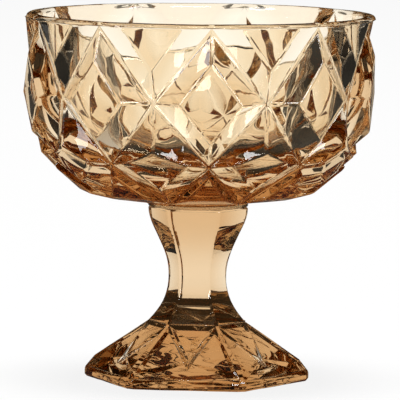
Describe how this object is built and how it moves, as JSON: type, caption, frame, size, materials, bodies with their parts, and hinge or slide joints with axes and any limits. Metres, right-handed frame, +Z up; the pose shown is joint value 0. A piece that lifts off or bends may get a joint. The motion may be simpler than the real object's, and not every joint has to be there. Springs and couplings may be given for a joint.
{
  "type": "footed dessert cup",
  "caption": "Footed dessert cup of amber pressed glass: a round bowl with raised diamonds between V grooves, on a six-sided waisted stem that flares into a faceted foot.",
  "frame": {"origin": "middle of the underside of the foot, on the surface that the cup stands on", "axes": "+Z up along the axis of bowl and stem, +X through a corner of the foot and the middle of a diamond"},
  "size_m": [0.1052, 0.1058, 0.11],
  "materials": {
    "bowl_glass": "clear amber pressed glass, fire polished",
    "wafer_glass": "clear amber glass, fused on both faces",
    "stem_glass": "clear amber pressed glass, fire polished"
  },
  "bodies": {
    "root": {"bowl": "bowl_glass", "joining_wafer": "wafer_glass", "stem_and_foot": "stem_glass"}
  },
  "joints": []
}
